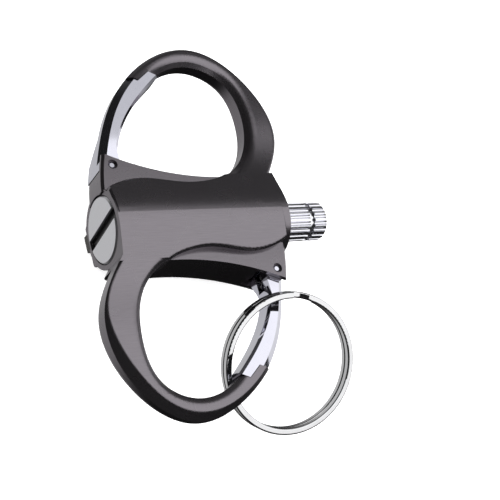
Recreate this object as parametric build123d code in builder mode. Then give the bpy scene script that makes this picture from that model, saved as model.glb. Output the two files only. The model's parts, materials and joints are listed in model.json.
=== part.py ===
from build123d import *
import os
from itertools import pairwise
from math import cos, radians, sin

# Pocket match lighter in the shape of an S: one spring gate loop above and one below a
# cross tube. The tube is a fuel tank. A knurled knob at its +X end carries a steel match,
# a slotted screw at its -X end closes the filler, and a ferrocerium strip lies along its
# back. A split key ring hangs on the lower gate.
#
# Frame: +X along the tank towards the knob, +Y towards the upper loop, +Z towards the
# front. The lighter lies on its striking strip, and the origin is on that strip's face,
# straight below the middle of the tank. All sizes are in millimetres.
#
# The lower loop is the upper one turned half a turn about Z, so both are drawn once, on a
# plane through the tank's axis. Outline points are (x, y) and heights count from the axis.

# Heights. The front's heights are given at distances from the tank's axis.
AXIS_HEIGHT = 8.8
FRONT_HEIGHTS = [(0, 7.4), (9, 5.2), (20, 4.7), (30, 4.2), (42, 3.6)]
ARM_BACK = -0.5
ARM_FRONT = 4.5
STEP_FRONT = 5.8
EAR_HALF = 4.1
SLOT_HALF = 3.1
RIDGE_BACK = -7.8

# Outline of a loop
OUTER_START = (15.6, 4.8)
NOTCH = (17.6, 7.6)
OUTER_MIDDLE = [(22.6, 17.0), (19.9, 29.6), (10.0, 37.6), (-6.6, 30.5), (-12.9, 21.5), (-15.6, 14.6)]
EAR_FOOT = (-17.7, 5.9)
OUTER_END = (-17.9, 2.0)
HOLE_CORNER = (7.7, 8.3)
ARM_INNER_MIDDLE = [(14.6, 14.0), (16.7, 22.0), (14.7, 30.4), (9.0, 33.8), (2.4, 32.8)]
INNER_TOP = (-2.9, 28.1)
GATE_INNER_MIDDLE = (-8.2, 22.3)
GATE_INNER_FOOT = (-12.2, 14.0)
EAR_EDGE = [HOLE_CORNER, (0.0, 8.8), (-7.2, 10.3), (-17.0, 14.0)]
EAR_SIDE = [(-22.0, 14.0), (-22.0, 5.9), EAR_FOOT, (-17.4, 5.0)]
STEP_EDGE = [HOLE_CORNER, (4.0, 7.1), (-1.5, 6.7), (-9.4, 7.8), (-14.5, 7.0), (-17.4, 5.6)]
SHELF_TOP = 8.4
LEFT_CORNER = [(-17.4, -7.3), (-18.3, -8.6)]
HOLE_FLOOR = 5.0

# Lap between the nose of a loop and the end of its gate
LAP = [(-7.8, 30.9), (-4.75, 29.6), (-2.1, 31.7), (1.6, 29.9)]
LAP_GAP = 0.13

# Edges of the casting. An arm's outer front bevel has a width for each point of its outline.
UPPER_ARM_BEVELS = [0.6, 0.6, 0.6, 0.6, 0.6, 0.8]
LOWER_ARM_BEVELS = [0.6, 0.6, 0.7, 1.5, 1.3, 0.6]
UPPER_OUTER_ROUND = 0.9
LOWER_OUTER_ROUND = 0.6
INNER_ROUND = 2.0
BEVEL_TOP = 8.0
UPPER_INNER_BEVEL = 1.4
LOWER_INNER_BEVEL = 0.7
STEP_ROUND = 0.8
BACK_ROUND = 2.0
BACK_INNER_ROUND = 1.0
EAR_BEVEL = 0.5
EAR_BACK_ROUND = 2.2
END_BEVEL = 0.4

# Tank, filler and neck
TANK_RADIUS = 7.3
TANK_LEFT = -17.4
TANK_RIGHT = 18.6
TANK_BORE = 5.4
TANK_FLOOR = 14.4
NECK_BORE = 2.6
SEAT_RADIUS = 6.35
SEAT_DEPTH = 1.9
RIDGE_HALF = 4.2
RIDGE_LEFT = -17.0
RIDGE_RIGHT = 17.0
RIDGE_ROUND = 0.8

# Striking strip
STRIP_LOW = -0.8
STRIP_HIGH = 2.4
STRIP_DEPTH = 2.1
STRIP_LEFT = -17.4
STRIP_RIGHT = 14.0
STRIP_EDGE = 0.5

# Gate and its hinge
PIN = (-14.4, 11.2)
PIN_RADIUS = 0.75
PIN_CLEARANCE = 0.05
PIN_HALF = 3.7
PIN_EDGE = 0.3
PIN_RECESS = 0.95
PIN_RECESS_DEPTH = 0.6
ROOT_RADIUS = 2.2
ROOT_GAP = 0.2
ROOT_HALF = 3.0
GATE_BACK = -1.2
GATE_OUTER_BEVEL = 1.3
GATE_INNER_BEVEL = 0.5
GATE_ANGLE = 65.6
RISE_START = 3.6
GATE_RISE = 0.055
HEEL_END = 2.0
HEEL_RUNOUT = 7.5
HEEL_TOP = 0.5

# Floor of the slot in an ear, and the foot of the gate's outer wall over it
SLOT_FLOOR = [(-11.5, 10.25), (-8.6, 11.95), (-8.6, 18), (-22, 18), (-22, 10.4), (-16.4, 10.2)]
GATE_FOOT = [(-16.2, 10.5), (-18.5, 10.6), (-18.5, 13.0)]

# Torsion spring round the pin, with angles from +X
COIL_RADIUS = 1.4
COIL_WIRE = 0.16
COIL_PITCH = 0.36
COIL_START = 70.0
COIL_END = -25.0
COIL_WHOLE_TURNS = 4
SPRING_ARM = 3.6
SPRING_FOOT = 2.0
SPRING_ROOM = 1.75
SPRING_ROOM_HALF = 1.1
SPRING_ROOM_LENGTH = 4.0

# Filler screw
SCREW_RADIUS = 6.2
SCREW_FACE = -17.6
SCREW_HEAD = 1.4
SCREW_SHANK = 5.35
SCREW_SHANK_END = -12.4
SCREW_SLOT = 2.1
SCREW_SLOT_DEPTH = 0.9
SCREW_SLOT_TILT = 6.0
SCREW_EDGE = 0.3
FILLER_RING_WIRE = 0.35
FILLER_RING_RADIUS = 5.85

# Wadding
WAD_LEFT = -12.0
WAD_RIGHT = 14.2
WAD_RADIUS = 5.3
WAD_HOLE = 2.2

# Match
KNOB_LEFT = 19.6
KNOB_GROOVE_LEFT = 25.9
KNOB_GROOVE_RIGHT = 26.9
KNOB_RIGHT = 30.0
KNOB_RADIUS = 3.9
KNOB_GROOVE_RADIUS = 3.3
KNOB_FLUTES = 18
KNOB_FLUTE_RADIUS = 0.42
KNOB_EDGE = 0.5
STEM_RADIUS = 2.55
STEM_LEFT = 14.8
MATCH_RING_WIRE = 0.5
MATCH_RING_RADIUS = 3.2
TUBE_RADIUS = 1.6
TUBE_BORE = 1.3
TUBE_LEFT = -5.0
TUBE_RIGHT = 17.0
WICK_LEFT = -8.2
WICK_RIGHT = 16.0
WICK_RADIUS = 1.25
NECK_WIDTH = 2.0
NECK_HALF = 0.3
NECK_RIGHT = -2.5
STRIKER_LEFT = -10.8
STRIKER_RIGHT = -8.4
STRIKER_SIDE = 2.2
STRIKER_EDGE = 0.2

# Split key ring, two turns of flat wire
RING_RADIUS = 12.8
RING_WIDE = 1.2
RING_DEEP = 1.34
RING_PITCH = 1.4
RING_CORNER = 0.3
RING_JOGGLE = 10.0
RING_END = 12.0
RING_CENTRE = (14.1, -28.52, 8.0)
RING_FACING = (-0.127, -0.53, 1.0)
RING_ENDS_TOWARDS = (0.251, 0.842, 0.478)

# Room round the loops, for outlines that cut
FAR_X = 26.0
FAR_Y = 42.0
FAR_Z = 12.0

front = Plane((0, 0, AXIS_HEIGHT))


def loop_outline():
    """Outside of a loop. It runs on past the notch and the ear's foot, into the tank."""
    with BuildSketch() as sketch:
        with BuildLine():
            Spline(OUTER_START, NOTCH, *OUTER_MIDDLE, EAR_FOOT, OUTER_END)
            Line(OUTER_END, OUTER_START)
        make_face()
    return sketch.sketch


def loop_opening():
    """Opening of a loop, down into the tank."""
    with BuildSketch() as sketch:
        with BuildLine():
            Spline(HOLE_CORNER, *ARM_INNER_MIDDLE, INNER_TOP)
            Spline(INNER_TOP, GATE_INNER_MIDDLE, GATE_INNER_FOOT)
            Polyline(
                GATE_INNER_FOOT,
                (GATE_INNER_FOOT[0], HOLE_FLOOR),
                (HOLE_CORNER[0], HOLE_FLOOR),
                HOLE_CORNER,
            )
        make_face()
    return sketch.sketch


def arm_side():
    """Everything on the arm's side of the lap and above the notch."""
    with BuildSketch() as sketch:
        with BuildLine():
            Polyline(
                *LAP,
                (HOLE_CORNER[0], 25),
                HOLE_CORNER,
                NOTCH,
                (FAR_X, NOTCH[1]),
                (FAR_X, FAR_Y),
                (LAP[0][0], FAR_Y),
                close=True,
            )
        make_face()
    return sketch.sketch


def gate_side():
    """Everything on the gate's side of the lap and above its pin."""
    lap = [(x, y - LAP_GAP) for x, y in LAP]
    with BuildSketch() as sketch:
        with BuildLine():
            Polyline(*lap, (4, 20), (-9, PIN[1]), (-FAR_X, PIN[1]), (-FAR_X, lap[0][1]), close=True)
        make_face()
    return sketch.sketch


def gate_band():
    """Bar of a gate, running on past both of its ends."""
    top = ARM_INNER_MIDDLE[-1]
    with BuildSketch() as sketch:
        add(loop_outline())
        with BuildLine():
            Spline(top, INNER_TOP, GATE_INNER_MIDDLE, GATE_INNER_FOOT)
            Polyline(
                GATE_INNER_FOOT,
                (GATE_INNER_FOOT[0], 0),
                (FAR_X, 0),
                (FAR_X, FAR_Y),
                (top[0], FAR_Y),
                top,
            )
        make_face(mode=Mode.SUBTRACT)
    return sketch.sketch


def under(edge, left_side):
    """Half of the middle of the S, below an edge that runs from the hole's corner to the left."""
    with BuildSketch() as sketch:
        with BuildLine():
            Spline(*edge)
            Polyline(edge[-1], *left_side, (TANK_LEFT, 0), (TANK_RIGHT, 0), (TANK_RIGHT, SHELF_TOP), edge[0])
        make_face()
    return sketch.sketch


def front_form():
    """Solid whose top is the front of the S: crowned over the tank and falling gently to the ends."""
    side = Plane((-FAR_X, 0, AXIS_HEIGHT), x_dir=(0, 1, 0), z_dir=(1, 0, 0))
    profile = [(-y, z) for y, z in reversed(FRONT_HEIGHTS[1:])] + FRONT_HEIGHTS
    with BuildPart() as part:
        with BuildSketch(side):
            with BuildLine():
                Spline(*profile)
                Polyline(profile[-1], (FAR_Y, -FAR_Z), (-FAR_Y, -FAR_Z), profile[0])
            make_face()
        extrude(amount=2 * FAR_X)
    return part.part


def edges_on(part, height, curve, away=(0, 0)):
    """Edges of a part near a height whose middles lie on a curve in the plan, or so far away from it."""
    found = ShapeList()
    for edge in part.edges():
        middle = edge @ 0.5
        gap = curve.distance_to(Vertex(middle.X, middle.Y, 0))
        if away[0] - 0.2 < gap < away[1] + 0.2 and abs(middle.Z - AXIS_HEIGHT - height) < 1.2:
            found.append(edge)
    return found


def drawn_in(height, bevels):
    """Outline of a loop at a height, on a 45 degree slope that leaves bevels on the arm's front."""
    points = [OUTER_START, NOTCH, *OUTER_MIDDLE, EAR_FOOT, OUTER_END]
    widths = bevels + [bevels[-1]] * (len(points) - len(bevels))
    moved = []
    for point, width in zip(points, widths):
        front_height = FRONT_HEIGHTS[1][1]
        for (near, high), (far, low) in pairwise(FRONT_HEIGHTS):
            if near <= point[1] <= far:
                front_height = high + (low - high) * (point[1] - near) / (far - near)
        along = outer_curve % outer_curve.param_at_point(point)
        shift = width + height - front_height
        moved.append((point[0] - along.Y * shift, point[1] + along.X * shift))
    with BuildSketch(front.offset(height)) as sketch:
        with BuildLine():
            Spline(*moved)
            Line(moved[-1], moved[0])
        make_face()
    return sketch.sketch


def bevel_form(bevels):
    """Solid that widens downwards at 45 degrees and cuts the arm's outer front bevel."""
    with BuildPart() as part:
        add(drawn_in(BEVEL_TOP, bevels))
        add(drawn_in(ARM_BACK - 1, bevels))
        loft(ruled=True)
    return part.part


outer_curve = Spline(OUTER_START, NOTCH, *OUTER_MIDDLE, EAR_FOOT, OUTER_END)
arm_curve = Spline(HOLE_CORNER, *ARM_INNER_MIDDLE, INNER_TOP)
gate_curve = Spline(ARM_INNER_MIDDLE[-1], INNER_TOP, GATE_INNER_MIDDLE, GATE_INNER_FOOT)


def arm(bevels, outer_round, inner_bevel):
    """Arm of a loop, from the tank round to its nose."""
    with BuildPart() as part:
        with BuildSketch(front.offset(ARM_BACK)):
            add(loop_outline())
            add(loop_opening(), mode=Mode.SUBTRACT)
        extrude(amount=FAR_Z)
        add(front_form(), mode=Mode.INTERSECT)
        chamfer(edges_on(part, ARM_FRONT, arm_curve), inner_bevel)
        fillet(edges_on(part, ARM_BACK, outer_curve), BACK_ROUND)
        fillet(edges_on(part, ARM_BACK, arm_curve), BACK_INNER_ROUND)
        add(bevel_form(bevels), mode=Mode.INTERSECT)
        outer_creases = edges_on(part, ARM_FRONT, outer_curve, (min(bevels), max(bevels)))
        fillet(outer_creases.sort_by(SortBy.LENGTH)[-1], outer_round)
        inner_creases = edges_on(part, ARM_FRONT, arm_curve, (inner_bevel, inner_bevel))
        fillet(inner_creases.sort_by(SortBy.LENGTH)[-1], INNER_ROUND)
        with BuildSketch(front.offset(-FAR_Z)):
            add(arm_side())
        extrude(amount=2 * FAR_Z, mode=Mode.INTERSECT)
    return part.part


with BuildPart() as ear:
    with BuildSketch(front.offset(-EAR_HALF)):
        add(loop_outline())
    extrude(amount=2 * EAR_HALF)
    chamfer(edges_on(ear, EAR_HALF, outer_curve), EAR_BEVEL)
    fillet(edges_on(ear, -EAR_HALF, outer_curve), EAR_BACK_ROUND)
    with BuildSketch(front.offset(-FAR_Z)):
        add(under(EAR_EDGE, EAR_SIDE))
    extrude(amount=2 * FAR_Z, mode=Mode.INTERSECT)

with BuildPart() as middle:
    with BuildSketch(front.offset(ARM_BACK)):
        add(under(STEP_EDGE, []))
    extrude(amount=FAR_Z)
    add(front_form(), mode=Mode.INTERSECT)
    fillet(edges_on(middle, STEP_FRONT, Spline(*STEP_EDGE)), STEP_ROUND)
    left_edges = middle.edges().group_by(Axis.X)[0]
    chamfer(left_edges.sort_by(Axis.Z)[-1], END_BEVEL)


def slot_outline():
    """Gap between an ear's two cheeks, with room for the gate's root and for its swing."""
    with BuildSketch() as sketch:
        with Locations(PIN):
            Circle(ROOT_RADIUS + ROOT_GAP)
        with BuildLine():
            Polyline(PIN, *SLOT_FLOOR, close=True)
        make_face()
    return sketch.sketch


def at_tank(x):
    """Plane across the tank, with its own x along +Y and its own y along +Z."""
    return Plane((x, 0, AXIS_HEIGHT), x_dir=(0, 1, 0), z_dir=(1, 0, 0))


def gate_heel():
    """Thicker back of a gate's foot, as a slice of the gate's bar."""
    with BuildPart() as part:
        with BuildSketch(front.offset(-ROOT_HALF)):
            add(gate_band())
        extrude(amount=ROOT_HALF + HEEL_TOP)
        with BuildSketch(gate_edge_on.offset(-FAR_Z)):
            with BuildLine():
                Polyline(
                    (-FAR_Z, -ROOT_HALF),
                    (HEEL_END, -ROOT_HALF),
                    (HEEL_RUNOUT, HEEL_TOP),
                    (-FAR_Z, HEEL_TOP),
                    close=True,
                )
            make_face()
        extrude(amount=2 * FAR_Z, mode=Mode.INTERSECT)
    return part.part


with BuildPart() as frame:
    add(arm(UPPER_ARM_BEVELS, UPPER_OUTER_ROUND, UPPER_INNER_BEVEL))
    add(arm(LOWER_ARM_BEVELS, LOWER_OUTER_ROUND, LOWER_INNER_BEVEL), rotation=(0, 0, 180))
    with PolarLocations(0, 2):
        add(ear.part)
        add(middle.part)
    with BuildSketch(front.offset(-FAR_Z)):
        with BuildLine():
            Polyline(
                (TANK_LEFT, EAR_FOOT[1]),
                *LEFT_CORNER,
                (-FAR_X, LEFT_CORNER[-1][1]),
                (-FAR_X, EAR_FOOT[1]),
                close=True,
            )
        make_face()
    extrude(amount=2 * FAR_Z, mode=Mode.SUBTRACT)
    with BuildSketch(at_tank(TANK_LEFT)):
        Circle(TANK_RADIUS)
    extrude(amount=TANK_RIGHT - TANK_LEFT)
    with BuildSketch(at_tank(RIDGE_LEFT)):
        with Locations((0, RIDGE_BACK / 2)):
            RectangleRounded(2 * RIDGE_HALF, -RIDGE_BACK, RIDGE_ROUND)
    extrude(amount=RIDGE_RIGHT - RIDGE_LEFT)
    with BuildSketch(at_tank(TANK_LEFT)):
        Circle(TANK_BORE)
    extrude(amount=TANK_FLOOR - TANK_LEFT, mode=Mode.SUBTRACT)
    with BuildSketch(at_tank(-FAR_X)):
        Circle(SEAT_RADIUS)
    extrude(amount=TANK_LEFT + SEAT_DEPTH + FAR_X, mode=Mode.SUBTRACT)
    with BuildSketch(at_tank(TANK_LEFT)):
        Circle(NECK_BORE)
    extrude(amount=TANK_RIGHT - TANK_LEFT, mode=Mode.SUBTRACT)
    with BuildSketch(Plane.XY):
        with Locations((RIDGE_LEFT, (STRIP_LOW + STRIP_HIGH) / 2)):
            Rectangle(2 * (STRIP_RIGHT - RIDGE_LEFT), STRIP_HIGH - STRIP_LOW)
    extrude(amount=STRIP_DEPTH, mode=Mode.SUBTRACT)
    with BuildSketch(front.offset(-SLOT_HALF)):
        with PolarLocations(0, 2):
            add(slot_outline())
    extrude(amount=2 * SLOT_HALF, mode=Mode.SUBTRACT)
    with BuildSketch(front.offset(-EAR_HALF)):
        with PolarLocations(0, 2):
            with Locations(PIN):
                Circle(PIN_RADIUS)
    extrude(amount=2 * EAR_HALF, mode=Mode.SUBTRACT)
    for cheek in (EAR_HALF - PIN_RECESS_DEPTH, -EAR_HALF):
        with BuildSketch(front.offset(cheek)):
            with PolarLocations(0, 2):
                with Locations(PIN):
                    Circle(PIN_RECESS)
        extrude(amount=PIN_RECESS_DEPTH, mode=Mode.SUBTRACT)


with BuildPart() as flint_strip:
    with BuildSketch(Plane.XY):
        with Locations(((STRIP_LEFT + STRIP_RIGHT) / 2, (STRIP_LOW + STRIP_HIGH) / 2)):
            Rectangle(STRIP_RIGHT - STRIP_LEFT, STRIP_HIGH - STRIP_LOW)
    extrude(amount=STRIP_DEPTH)
    chamfer(flint_strip.faces().sort_by(Axis.Z)[0].edges(), STRIP_EDGE)

with BuildPart() as tank_cotton:
    with BuildSketch(at_tank(WAD_LEFT)):
        Circle(WAD_RADIUS)
        Circle(WAD_HOLE, mode=Mode.SUBTRACT)
    extrude(amount=WAD_RIGHT - WAD_LEFT)


# Filler

with BuildPart() as filler_screw:
    with BuildSketch(at_tank(SCREW_FACE)):
        Circle(SCREW_RADIUS)
    extrude(amount=SCREW_HEAD)
    chamfer(filler_screw.edges().sort_by(Axis.X)[0], SCREW_EDGE)
    with BuildSketch(at_tank(SCREW_FACE)):
        Circle(SCREW_SHANK)
    extrude(amount=SCREW_SHANK_END - SCREW_FACE)
    with BuildSketch(at_tank(SCREW_FACE)):
        Rectangle(SCREW_SLOT, 3 * SCREW_RADIUS, rotation=-SCREW_SLOT_TILT)
    extrude(amount=SCREW_SLOT_DEPTH, mode=Mode.SUBTRACT)


def seal(x, radius, wire):
    """O-ring round the tank's axis."""
    with BuildPart() as part:
        with BuildSketch(Plane((x, radius, AXIS_HEIGHT), x_dir=(0, 1, 0), z_dir=(0, 0, 1))):
            Circle(wire)
        revolve(axis=Axis((0, 0, AXIS_HEIGHT), (1, 0, 0)))
    return part


filler_o_ring = seal(SCREW_FACE + SCREW_HEAD + FILLER_RING_WIRE, FILLER_RING_RADIUS, FILLER_RING_WIRE)


# Gates, their pins and springs

along_gate = Vector(cos(radians(GATE_ANGLE)), sin(radians(GATE_ANGLE)), 0)
gate_edge_on = Plane((*PIN, AXIS_HEIGHT), x_dir=along_gate, z_dir=along_gate.cross(Vector(0, 0, 1)))

with BuildPart() as upper_gate:
    with BuildSketch(front.offset(GATE_BACK)):
        add(gate_band())
    extrude(amount=FAR_Z)
    with BuildSketch(gate_edge_on.offset(-FAR_Z)):
        with BuildLine():
            Polyline(
                (RISE_START - FAR_Y, ROOT_HALF - FAR_Y * GATE_RISE),
                (RISE_START + FAR_Y, ROOT_HALF + FAR_Y * GATE_RISE),
                (RISE_START + FAR_Y, -FAR_Z),
                (RISE_START - FAR_Y, -FAR_Z),
                close=True,
            )
        make_face()
    extrude(amount=2 * FAR_Z, mode=Mode.INTERSECT)
    for level in (GATE_BACK, ROOT_HALF):
        chamfer(edges_on(upper_gate, level, outer_curve), GATE_OUTER_BEVEL)
        chamfer(edges_on(upper_gate, level, gate_curve), GATE_INNER_BEVEL)
    add(gate_heel())
    with BuildSketch(front.offset(-FAR_Z)):
        add(gate_side())
    extrude(amount=2 * FAR_Z, mode=Mode.INTERSECT)
    with BuildSketch(front.offset(-ROOT_HALF)):
        with Locations(PIN):
            Circle(ROOT_RADIUS)
        with BuildLine():
            Polyline(PIN, *GATE_FOOT, close=True)
        make_face()
        add(loop_outline(), mode=Mode.INTERSECT)
    extrude(amount=2 * ROOT_HALF)
    with BuildSketch(front.offset(-ROOT_HALF)):
        with Locations(PIN):
            Circle(PIN_RADIUS + PIN_CLEARANCE)
    extrude(amount=2 * ROOT_HALF, mode=Mode.SUBTRACT)
    with BuildSketch(Plane((*PIN, AXIS_HEIGHT - SPRING_ROOM_HALF), x_dir=along_gate)):
        Circle(SPRING_ROOM)
        Rectangle(SPRING_ROOM_LENGTH, 2 * ROOT_RADIUS, align=(Align.MIN, Align.MAX))
    extrude(amount=2 * SPRING_ROOM_HALF, mode=Mode.SUBTRACT)

with BuildPart() as upper_gate_pin:
    with BuildSketch(Plane((*PIN, AXIS_HEIGHT - PIN_HALF))):
        Circle(PIN_RADIUS)
    extrude(amount=2 * PIN_HALF)
    chamfer(upper_gate_pin.edges().filter_by(GeomType.CIRCLE), PIN_EDGE)

turns = COIL_WHOLE_TURNS + (COIL_END - COIL_START) / 360
rise = turns * COIL_PITCH
coil = Helix(pitch=COIL_PITCH, height=rise, radius=COIL_RADIUS, center=(*PIN, AXIS_HEIGHT - rise / 2))
coil = coil.rotate(Axis((*PIN, 0), (0, 0, 1)), COIL_START).edge()

with BuildPart() as upper_gate_spring:
    with BuildSketch(Plane(coil @ 0, z_dir=coil % 0)):
        Circle(COIL_WIRE)
    sweep(path=coil, is_frenet=True)
    with BuildSketch(Plane(coil @ 0, z_dir=coil % 0)):
        Circle(COIL_WIRE)
    extrude(amount=-SPRING_FOOT)
    with BuildSketch(Plane(coil @ 1, z_dir=coil % 1)):
        Circle(COIL_WIRE)
    extrude(amount=SPRING_ARM)

with BuildPart() as lower_gate:
    add(upper_gate.part, rotation=(0, 0, 180))
with BuildPart() as lower_gate_pin:
    add(upper_gate_pin.part, rotation=(0, 0, 180))
with BuildPart() as lower_gate_spring:
    add(upper_gate_spring.part, rotation=(0, 0, 180))


# Match

with BuildPart() as match_knob:
    with BuildSketch(at_tank(KNOB_LEFT)):
        Circle(KNOB_RADIUS)
    extrude(amount=KNOB_RIGHT - KNOB_LEFT)
    ends = match_knob.edges().filter_by(GeomType.CIRCLE)
    chamfer(ends, KNOB_EDGE)
    with BuildSketch(at_tank(KNOB_LEFT)):
        with PolarLocations(KNOB_RADIUS, KNOB_FLUTES):
            Circle(KNOB_FLUTE_RADIUS)
    extrude(amount=KNOB_RIGHT - KNOB_LEFT, mode=Mode.SUBTRACT)
    with BuildSketch(at_tank(KNOB_GROOVE_LEFT)):
        Circle(2 * KNOB_RADIUS)
        Circle(KNOB_GROOVE_RADIUS, mode=Mode.SUBTRACT)
    extrude(amount=KNOB_GROOVE_RIGHT - KNOB_GROOVE_LEFT, mode=Mode.SUBTRACT)
    with BuildSketch(at_tank(STEM_LEFT)):
        Circle(STEM_RADIUS)
    extrude(amount=KNOB_LEFT - STEM_LEFT)
    with BuildSketch(at_tank(STEM_LEFT)):
        Circle(TUBE_RADIUS)
    extrude(amount=TUBE_RIGHT - STEM_LEFT, mode=Mode.SUBTRACT)

match_o_ring = seal(TANK_RIGHT + MATCH_RING_WIRE, MATCH_RING_RADIUS, MATCH_RING_WIRE)

with BuildPart() as match_tube:
    with BuildSketch(at_tank(TUBE_LEFT)):
        Circle(TUBE_RADIUS)
        Circle(TUBE_BORE, mode=Mode.SUBTRACT)
    extrude(amount=TUBE_RIGHT - TUBE_LEFT)

with BuildPart() as match_striker:
    with BuildSketch(at_tank(STRIKER_LEFT)):
        Rectangle(STRIKER_SIDE, STRIKER_SIDE)
    extrude(amount=STRIKER_RIGHT - STRIKER_LEFT)
    chamfer(match_striker.edges(), STRIKER_EDGE)
    with BuildSketch(at_tank(STRIKER_RIGHT)):
        Rectangle(NECK_WIDTH, 2 * NECK_HALF)
    extrude(amount=NECK_RIGHT - STRIKER_RIGHT)

with BuildPart() as match_wick:
    with BuildSketch(at_tank(WICK_LEFT)):
        Circle(WICK_RADIUS)
    extrude(amount=WICK_RIGHT - WICK_LEFT)
    with BuildSketch(at_tank(WICK_LEFT)):
        with Locations((0, NECK_HALF)):
            Rectangle(2 * WICK_RADIUS, 2 * WICK_RADIUS, align=(Align.CENTER, Align.MAX))
    extrude(amount=NECK_RIGHT - WICK_LEFT, mode=Mode.SUBTRACT)


# Key ring

ring_plane = Plane(RING_CENTRE, x_dir=RING_ENDS_TOWARDS, z_dir=RING_FACING)

with BuildLine(ring_plane.offset(RING_PITCH / 2)) as near_turn:
    CenterArc((0, 0), RING_RADIUS, RING_END, 360 - RING_JOGGLE - RING_END)
with BuildLine(ring_plane.offset(-RING_PITCH / 2)) as far_turn:
    CenterArc((0, 0), RING_RADIUS, RING_JOGGLE, 360 - RING_JOGGLE - RING_END)
near_wire = near_turn.edges()[0]
far_wire = far_turn.edges()[0]
with BuildLine() as joggle:
    Spline(near_wire @ 1, far_wire @ 0, tangents=(near_wire % 1, far_wire % 0))

with BuildPart() as key_ring:
    for wire in (near_wire, far_wire, joggle.edges()[0]):
        with BuildSketch(Plane(wire @ 0, x_dir=ring_plane.z_dir, z_dir=wire % 0)):
            RectangleRounded(RING_DEEP, RING_WIDE, RING_CORNER)
        sweep(path=wire)


nodes = {
    "frame": frame,
    "tank_cotton": tank_cotton,
    "filler_screw": filler_screw,
    "filler_o_ring": filler_o_ring,
    "flint_strip": flint_strip,
    "upper_gate": upper_gate,
    "upper_gate_pin": upper_gate_pin,
    "upper_gate_spring": upper_gate_spring,
    "lower_gate": lower_gate,
    "lower_gate_pin": lower_gate_pin,
    "lower_gate_spring": lower_gate_spring,
    "match_knob": match_knob,
    "match_o_ring": match_o_ring,
    "match_tube": match_tube,
    "match_wick": match_wick,
    "match_striker": match_striker,
    "key_ring": key_ring,
}
os.makedirs("parts", exist_ok=True)
for name, node in nodes.items():
    node.part.label = name
    export_step(node.part, f"parts/{name}.step")
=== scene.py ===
import json
import math

import bpy
from mathutils import Matrix, Vector


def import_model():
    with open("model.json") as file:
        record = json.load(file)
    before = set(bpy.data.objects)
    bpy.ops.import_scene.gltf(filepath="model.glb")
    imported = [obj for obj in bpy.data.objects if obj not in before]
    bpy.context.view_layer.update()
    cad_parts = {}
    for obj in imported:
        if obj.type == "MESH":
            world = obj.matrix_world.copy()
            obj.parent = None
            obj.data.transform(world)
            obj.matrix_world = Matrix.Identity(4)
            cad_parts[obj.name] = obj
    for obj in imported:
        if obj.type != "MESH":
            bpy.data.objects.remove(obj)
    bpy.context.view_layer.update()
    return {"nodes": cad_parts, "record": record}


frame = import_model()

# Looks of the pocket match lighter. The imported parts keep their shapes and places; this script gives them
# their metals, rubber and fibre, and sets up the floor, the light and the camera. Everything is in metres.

MM = 0.001

# Camera, looking down on the front of the lighter from its filler end
CAMERA_FROM = Vector((-0.4807, -0.3655, 0.7971))
CAMERA_RIGHT = Vector((0.8761, -0.2386, 0.4189))
CAMERA_UP = Vector((0.0371, 0.8997, 0.4350))
CAMERA_DISTANCE = 0.2
CAMERA_LENS = 76.3
CAMERA_AIM = Vector((-0.05887, 0.02217, -1.0))
CAMERA_NEAR = 0.01
CAMERA_FAR = 20.0
TANK_MIDDLE = Vector((0.0, 0.0, 8.8 * MM))

# Level lamps over the scene, all at one height: a soft box, a paler strip behind it, a card in the strip's
# place that lights only the gates, and a card in front of the box for only the key ring and the knob.
BOX_HEIGHT = 0.45
BOX_X = (-0.14, 0.85)
BOX_Y = (-0.36, 0.21)
STRIP_X = (-0.14, 0.33)
STRIP_Y = (0.21, 0.275)
BOX_LIGHT = 1.3
STRIP_LIGHT = 0.7
GATE_LIGHT = 1.2
RING_Y = (-0.6, -0.36)
RING_LIGHT = 1.2

# Room round the scene. Dull surfaces and the floor see an even pale room. Shiny ones see a dark room with
# glows in it: each has a direction, a strength, and the cosines of the angles where it begins and is full.
FILL_LIGHT = 1.3
ROOM_LIGHT = 0.015
GLOWS = [
    ((-0.3, 0.55, -0.78), 0.6, 0.55, 0.9),
    ((0.48, 0.8, 0.37), 0.08, 0.6, 0.9),
    ((0.95, 0.2, -0.23), 0.9, 0.85, 0.96),
]
FLOOR_GLOW = 0.65
FLOOR_SIZE = 6.0

# Places along the tank's axis where the filler screw's slot starts and ends; the painted shade on the
# slot's floor fades in between them
SLOT_MOUTH = -17.4 * MM
SLOT_FLOOR = -17.0 * MM


# Nodes

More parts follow.
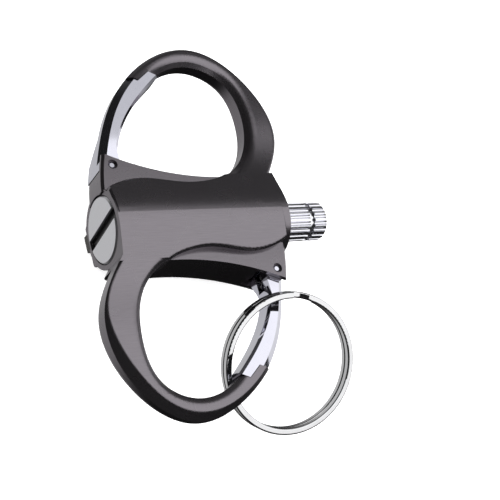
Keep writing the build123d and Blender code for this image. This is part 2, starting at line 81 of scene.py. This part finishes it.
class Tree:
    """Short names for building one material's nodes."""

    def __init__(self, name):
        self.material = bpy.data.materials.new(name)
        self.material.use_nodes = True
        self.nodes = self.material.node_tree.nodes
        self.links = self.material.node_tree.links
        self.nodes.clear()
        self.output = self.nodes.new("ShaderNodeOutputMaterial")
        self.surface = self.nodes.new("ShaderNodeBsdfPrincipled")
        self.links.new(self.surface.outputs[0], self.output.inputs["Surface"])
        self.place = self.nodes.new("ShaderNodeTexCoord").outputs["Object"]

    def set(self, **values):
        for name, value in values.items():
            socket = self.surface.inputs[name.replace("_", " ")]
            if isinstance(value, bpy.types.NodeSocket):
                self.links.new(value, socket)
            else:
                socket.default_value = value

    def stretched(self, x, y, z):
        """Object place multiplied by a scale on each axis."""
        node = self.nodes.new("ShaderNodeMapping")
        node.inputs["Scale"].default_value = (x, y, z)
        self.links.new(self.place, node.inputs["Vector"])
        return node.outputs[0]

    def noise(self, place, scale, detail=4.0, roughness=0.6):
        node = self.nodes.new("ShaderNodeTexNoise")
        node.inputs["Scale"].default_value = scale
        node.inputs["Detail"].default_value = detail
        node.inputs["Roughness"].default_value = roughness
        self.links.new(place, node.inputs["Vector"])
        return node.outputs["Fac"]

    def ramp(self, value, low, high, start=0.0, end=1.0):
        """Maps start..end to a number between low and high."""
        node = self.nodes.new("ShaderNodeMapRange")
        node.inputs["From Min"].default_value = start
        node.inputs["From Max"].default_value = end
        node.inputs["To Min"].default_value = low
        node.inputs["To Max"].default_value = high
        self.links.new(value, node.inputs["Value"])
        return node.outputs[0]

    def blend(self, value, first, second):
        """Mixes two colours, each given as numbers or as another node's output."""
        node = self.nodes.new("ShaderNodeMix")
        node.data_type = "RGBA"
        for name, colour in (("A", first), ("B", second)):
            if isinstance(colour, bpy.types.NodeSocket):
                self.links.new(colour, node.inputs[name])
            else:
                node.inputs[name].default_value = (*colour, 1.0)
        self.links.new(value, node.inputs["Factor"])
        return node.outputs["Result"]

    def bump(self, height, distance, strength=1.0):
        node = self.nodes.new("ShaderNodeBump")
        node.inputs["Distance"].default_value = distance
        node.inputs["Strength"].default_value = strength
        self.links.new(height, node.inputs["Height"])
        return node.outputs["Normal"]


def gunmetal():
    """Dark casting, brushed along the tank's axis, with cloudy patches in its polish."""
    tree = Tree("gunmetal")
    grain = tree.noise(tree.stretched(300, 9000, 9000), 1.0, 3.0)
    cloud = tree.noise(tree.place, 90.0, 3.0)
    tree.set(
        Base_Color=tree.blend(grain, (0.17, 0.157, 0.172), (0.235, 0.218, 0.237)),
        Metallic=1.0,
        Roughness=tree.ramp(cloud, 0.24, 0.31),
        Normal=tree.bump(grain, 0.4e-6, 0.6),
    )
    return tree.material


def chrome(name, dark, light, roughness):
    """Bright plating with faint wipe marks."""
    tree = Tree(name)
    wipe = tree.noise(tree.place, 400.0)
    tree.set(
        Base_Color=tree.blend(wipe, dark, light),
        Metallic=1.0,
        Roughness=tree.ramp(wipe, roughness, roughness + 0.05),
    )
    return tree.material


def satin_metal():
    """Satin face, and painted shade on the slot's floor, which is coloured far darker than the face as if
    in shadow.
    """
    tree = Tree("satin_metal")
    grain = tree.noise(tree.place, 9000.0, 2.0)
    depth = tree.nodes.new("ShaderNodeSeparateXYZ")
    tree.links.new(tree.place, depth.inputs[0])
    # mask for the painted shade, fading in from the slot's mouth to its floor
    slot_shade_mask = tree.ramp(depth.outputs["X"], 0.0, 1.0, SLOT_MOUTH, SLOT_FLOOR)
    face = tree.blend(grain, (0.68, 0.68, 0.71), (0.84, 0.84, 0.87))
    # painted shade: the slot's floor is coloured near black in place of the shadow in the recess
    painted_slot_shade = tree.blend(grain, (0.06, 0.058, 0.06), (0.2, 0.195, 0.2))
    tree.set(
        Base_Color=tree.blend(slot_shade_mask, face, painted_slot_shade),
        Metallic=1.0,
        Roughness=tree.ramp(grain, 0.3, 0.42),
        Normal=tree.bump(grain, 3e-6, 0.5),
    )
    return tree.material


def rubber():
    """Black seal rubber with a fine grain."""
    tree = Tree("black_rubber")
    grain = tree.noise(tree.place, 4000.0)
    tree.set(
        Base_Color=tree.blend(grain, (0.012, 0.012, 0.013), (0.025, 0.025, 0.026)),
        Roughness=tree.ramp(grain, 0.4, 0.6),
        Normal=tree.bump(grain, 4e-6, 0.4),
    )
    return tree.material


def ferrocerium():
    """Grey striking metal, roughened by coarse scratches across the strip."""
    tree = Tree("ferrocerium")
    grain = tree.noise(tree.stretched(3000, 900, 3000), 1.0)
    tree.set(
        Base_Color=tree.blend(grain, (0.05, 0.047, 0.046), (0.13, 0.12, 0.115)),
        Metallic=0.7,
        Roughness=tree.ramp(grain, 0.45, 0.75),
        Normal=tree.bump(grain, 20e-6, 0.8),
    )
    return tree.material


def drawn_steel():
    """Bright steel with fine draw lines along the tank's axis."""
    tree = Tree("spring_steel")
    grain = tree.noise(tree.stretched(500, 8000, 8000), 1.0)
    tree.set(
        Base_Color=tree.blend(grain, (0.5, 0.5, 0.51), (0.68, 0.68, 0.69)),
        Metallic=1.0,
        Roughness=tree.ramp(grain, 0.2, 0.35),
    )
    return tree.material


def fibre(name, dark, light, scale):
    """Strands of wadding or wick, running along the tank's axis."""
    tree = Tree(name)
    strands = tree.noise(tree.stretched(scale * 0.2, scale, scale), 1.0, 6.0, 0.75)
    tree.set(
        Base_Color=tree.blend(strands, dark, light),
        Roughness=0.95,
        Normal=tree.bump(strands, 80e-6, 1.0),
    )
    return tree.material


materials = {
    "gunmetal": gunmetal(),
    "satin_metal": satin_metal(),
    "bright_chrome": chrome("bright_chrome", (0.61, 0.61, 0.69), (0.67, 0.67, 0.74), 0.03),
    "spring_steel": drawn_steel(),
    "ferrocerium": ferrocerium(),
    "black_rubber": rubber(),
    "cotton": fibre("cotton", (0.6, 0.57, 0.5), (0.88, 0.86, 0.8), 2500.0),
    "wick_fibre": fibre("wick_fibre", (0.72, 0.7, 0.64), (0.95, 0.94, 0.9), 5000.0),
}

# The knob and the key ring are whiter than the chrome of the gates and pins
whiter = {
    "match_knob": chrome("knob_chrome", (0.74, 0.74, 0.79), (0.82, 0.82, 0.87), 0.12),
    "key_ring": chrome("ring_chrome", (0.64, 0.64, 0.65), (0.74, 0.74, 0.75), 0.04),
}

for subpart in frame["record"]["subparts"]:
    name = subpart["node"]
    node = frame["nodes"][name]
    node.data.materials.clear()
    node.data.materials.append(whiter.get(name, materials[subpart["material_slot"]]))


# Floor, light and camera

def floor():
    """Plain pale floor that shiny surfaces don't reflect."""
    tree = Tree("floor")
    speckle = tree.noise(tree.place, 60.0)
    tree.set(
        Base_Color=tree.blend(speckle, (0.86, 0.86, 0.865), (0.88, 0.88, 0.885)),
        Roughness=0.9,
        Emission_Color=(1.0, 1.0, 1.0, 1.0),
        Emission_Strength=FLOOR_GLOW,
    )
    bpy.ops.mesh.primitive_plane_add(size=FLOOR_SIZE, location=(0, 0, 0))
    plane = bpy.context.object
    plane.name = "floor"
    plane.data.materials.append(tree.material)
    plane.visible_glossy = False


def level_light(name, span_x, span_y, light):
    """Rectangular lamp facing down; its power gives every part of it the same brightness."""
    lamp = bpy.data.lights.new(name, "AREA")
    lamp.shape = "RECTANGLE"
    lamp.size = span_x[1] - span_x[0]
    lamp.size_y = span_y[1] - span_y[0]
    lamp.energy = light * math.pi * lamp.size * lamp.size_y
    holder = bpy.data.objects.new(name, lamp)
    holder.location = (sum(span_x) / 2, sum(span_y) / 2, BOX_HEIGHT)
    bpy.context.scene.collection.objects.link(holder)
    return holder


def card(name, span_y, light, node_names):
    """Lamp as wide as the soft box that lights only the named pieces."""
    lit = bpy.data.collections.new("lit_by_" + name)
    for node_name in node_names:
        lit.objects.link(frame["nodes"][node_name])
    level_light(name, BOX_X, span_y, light).light_linking.receiver_collection = lit


def world():
    """Even pale light for the floor and dull surfaces, and a dark room with glows for shiny ones."""
    room = bpy.data.worlds.new("room")
    room.use_nodes = True
    nodes = room.node_tree.nodes
    links = room.node_tree.links
    direction = nodes.new("ShaderNodeTexCoord").outputs["Generated"]
    strength = None
    for towards, level, begins, full in GLOWS:
        facing = nodes.new("ShaderNodeVectorMath")
        facing.operation = "DOT_PRODUCT"
        facing.inputs[1].default_value = Vector(towards).normalized()
        links.new(direction, facing.inputs[0])
        glow = nodes.new("ShaderNodeMapRange")
        glow.interpolation_type = "SMOOTHSTEP"
        glow.inputs["From Min"].default_value = begins
        glow.inputs["From Max"].default_value = full
        glow.inputs["To Max"].default_value = level
        links.new(facing.outputs["Value"], glow.inputs["Value"])
        total = nodes.new("ShaderNodeMath")
        total.inputs[1].default_value = ROOM_LIGHT
        links.new(glow.outputs[0], total.inputs[0])
        if strength:
            links.new(strength, total.inputs[1])
        strength = total.outputs[0]
    mix = nodes.new("ShaderNodeMix")
    mix.inputs["A"].default_value = FILL_LIGHT
    links.new(strength, mix.inputs["B"])
    links.new(nodes.new("ShaderNodeLightPath").outputs["Is Glossy Ray"], mix.inputs["Factor"])
    background = nodes["Background"]
    links.new(mix.outputs["Result"], background.inputs["Strength"])
    background.inputs["Color"].default_value = (1.0, 1.0, 1.0, 1.0)
    bpy.context.scene.world = room


def camera():
    """Camera aimed a little off the tank's middle, at the distance of the picture."""
    lens = bpy.data.cameras.new("camera")
    lens.lens = CAMERA_LENS
    lens.clip_start = CAMERA_NEAR
    lens.clip_end = CAMERA_FAR
    holder = bpy.data.objects.new("camera", lens)
    level = Matrix((CAMERA_RIGHT, CAMERA_UP, CAMERA_FROM)).transposed()
    turn = CAMERA_AIM.normalized().rotation_difference(Vector((0, 0, -1)))
    holder.matrix_world = Matrix.LocRotScale(
        TANK_MIDDLE + CAMERA_DISTANCE * CAMERA_FROM,
        level.to_quaternion() @ turn,
        None,
    )
    bpy.context.scene.collection.objects.link(holder)
    bpy.context.scene.camera = holder


floor()
level_light("soft_box", BOX_X, BOX_Y, BOX_LIGHT)
level_light("soft_box_strip", STRIP_X, STRIP_Y, STRIP_LIGHT)
card("gate_card", STRIP_Y, GATE_LIGHT, ["upper_gate", "lower_gate"])
card("ring_card", RING_Y, RING_LIGHT, ["key_ring", "match_knob"])
world()
camera()
bpy.context.scene.view_settings.view_transform = "Standard"
